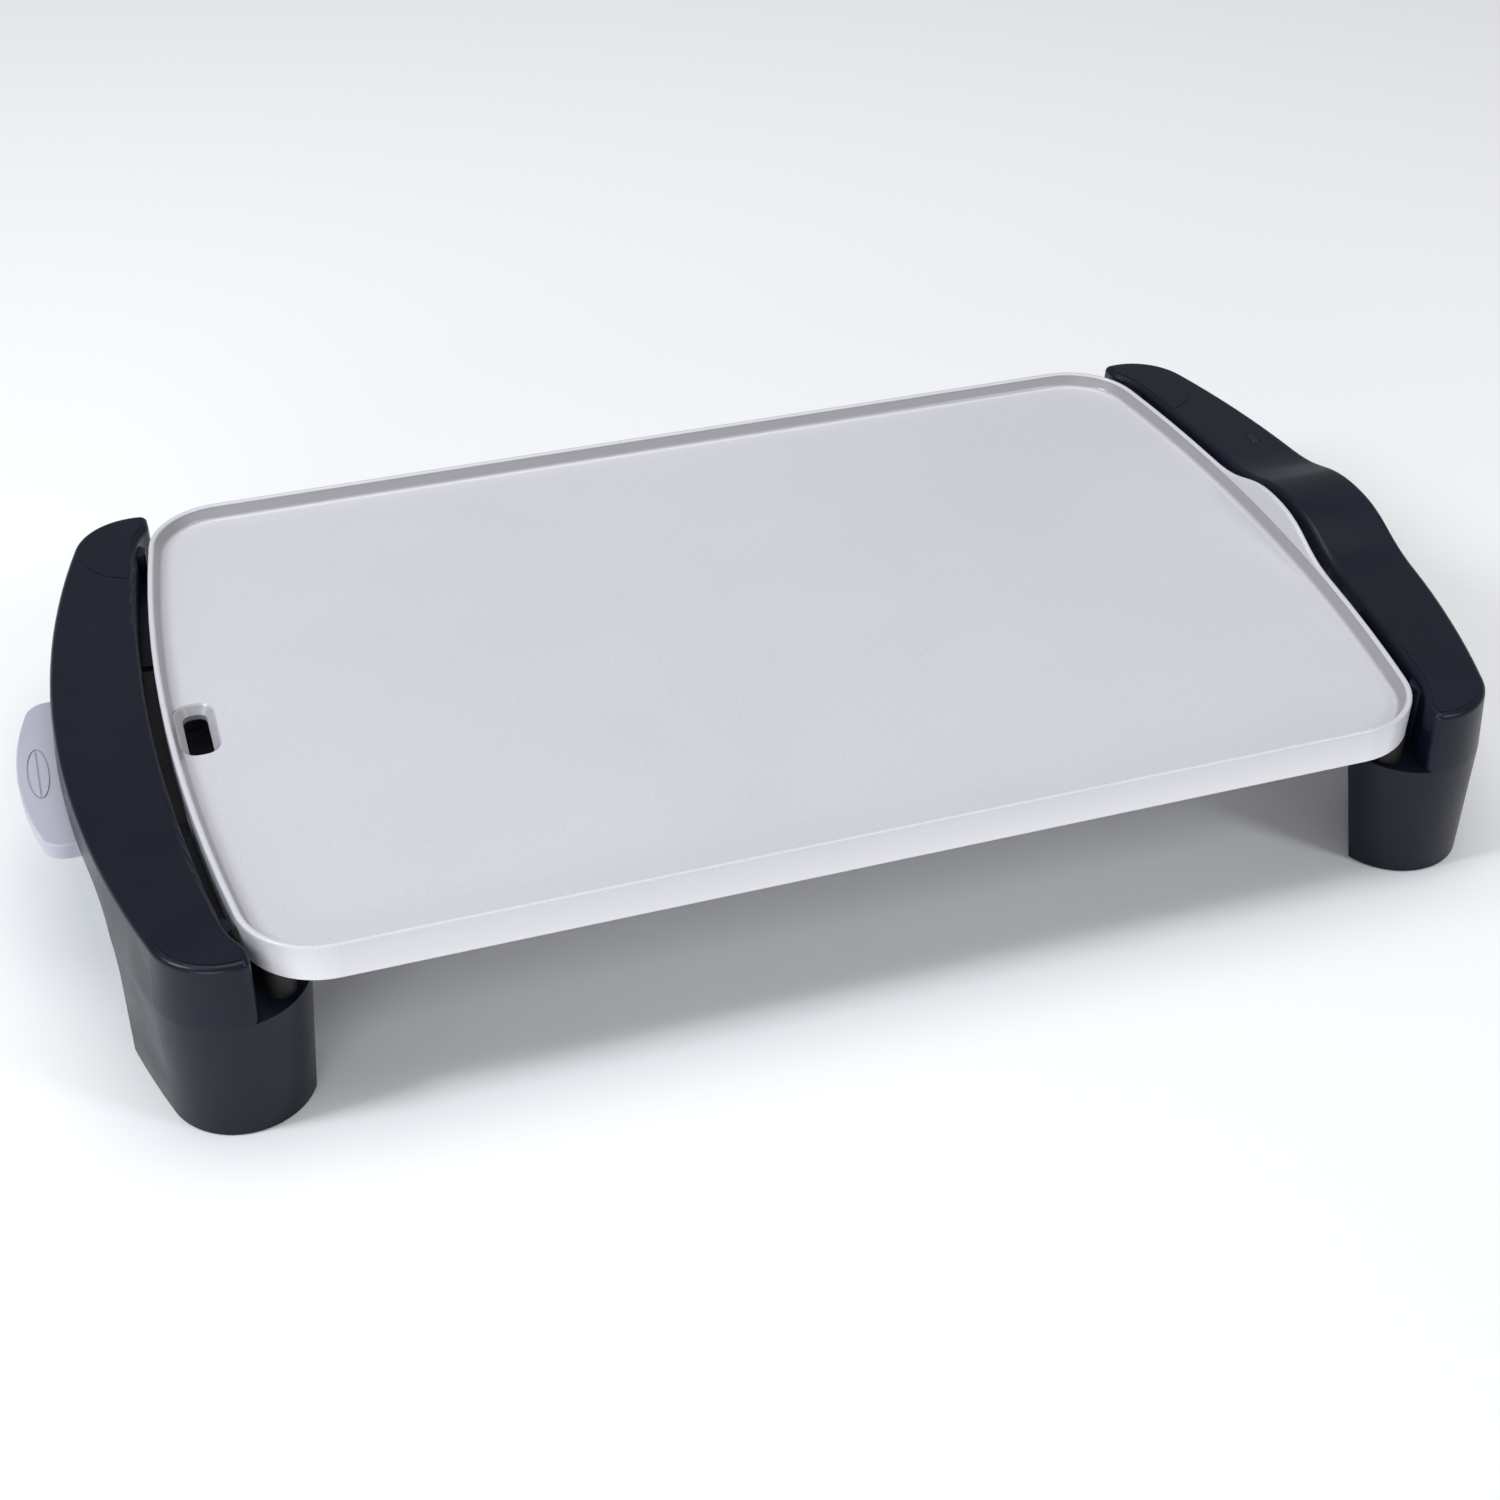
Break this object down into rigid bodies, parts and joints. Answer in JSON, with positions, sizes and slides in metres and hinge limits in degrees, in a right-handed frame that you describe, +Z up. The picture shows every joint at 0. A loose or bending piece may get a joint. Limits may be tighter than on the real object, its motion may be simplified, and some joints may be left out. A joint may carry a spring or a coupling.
{
  "type": "electric griddle",
  "caption": "Table-top electric griddle: pale coated plate with a low rim and drain hole, dark end mouldings that form handles and legs, pull-out drip tray, plug-in heater inlet.",
  "frame": {"origin": "on the table, under the middle of the whole griddle", "axes": "+X towards the end with the heater inlet, +Y towards the back, +Z up; the drip tray pulls out along -X"},
  "size_m": [0.5662, 0.2994, 0.0858],
  "materials": {
    "ceramic_coat": "satin non-stick coat on die-cast aluminium",
    "tray_plastic": "satin moulded",
    "frame_plastic": "satin moulded, fine spark texture",
    "cover_plastic": "matt moulded",
    "housing_plastic": "matt moulded",
    "plug_plastic": "gloss",
    "element_sheath": "heat-tinted drawn tube",
    "strap_steel": "zinc-plated sheet",
    "shield_steel": "aluminised sheet",
    "shroud_steel": "plated pressed sheet",
    "nickel": "nickel plate",
    "spring_brass": "bright rolled strip",
    "ceramic": "unglazed steatite",
    "bush_resin": "phenolic resin",
    "pad_rubber": "matt",
    "screw_steel": "zinc-plated"
  },
  "bodies": {
    "griddle": {"earth_contact_back": "spring_brass", "earth_contact_front": "spring_brass", "element_strap_center": "strap_steel", "element_strap_left": "strap_steel", "element_strap_right": "strap_steel", "foot_cover_back_left": "cover_plastic", "foot_cover_back_right": "cover_plastic", "foot_cover_front_left": "cover_plastic", "foot_cover_front_right": "cover_plastic", "foot_cover_screws": "cover_plastic", "foot_pad_back_left": "pad_rubber", "foot_pad_back_right": "pad_rubber", "foot_pad_front_left": "pad_rubber", "foot_pad_front_right": "pad_rubber", "griddle_plate": "ceramic_coat", "handle_plug": "plug_plastic", "heat_shield": "shield_steel", "heating_element": "element_sheath", "housing_screws": "screw_steel", "inlet_shroud": "shroud_steel", "left_end_frame": "frame_plastic", "left_grip_cover": "cover_plastic", "left_grip_screws": "screw_steel", "mounting_screws": "screw_steel", "mounting_washers": "screw_steel", "pin_insulator_back": "ceramic", "pin_insulator_front": "ceramic", "probe_sleeve": "nickel", "right_end_frame": "frame_plastic", "right_grip_cover_back": "cover_plastic", "right_grip_cover_front": "cover_plastic", "right_grip_screws": "screw_steel", "shield_screws": "screw_steel", "shroud_screws": "screw_steel", "spacer_bush_back_left": "bush_resin", "spacer_bush_back_right": "bush_resin", "spacer_bush_front_left": "bush_resin", "spacer_bush_front_right": "bush_resin", "strap_screws": "screw_steel", "terminal_pin_back": "nickel", "terminal_pin_front": "nickel", "tray_housing": "housing_plastic"},
    "drip_tray": {"drip_tray": "tray_plastic"}
  },
  "joints": [
    {"name": "drip_tray_slide", "type": "slide", "parent": "griddle", "child": "drip_tray", "axis": [-1, 0, 0], "range_m": [0, 0.095]}
  ]
}
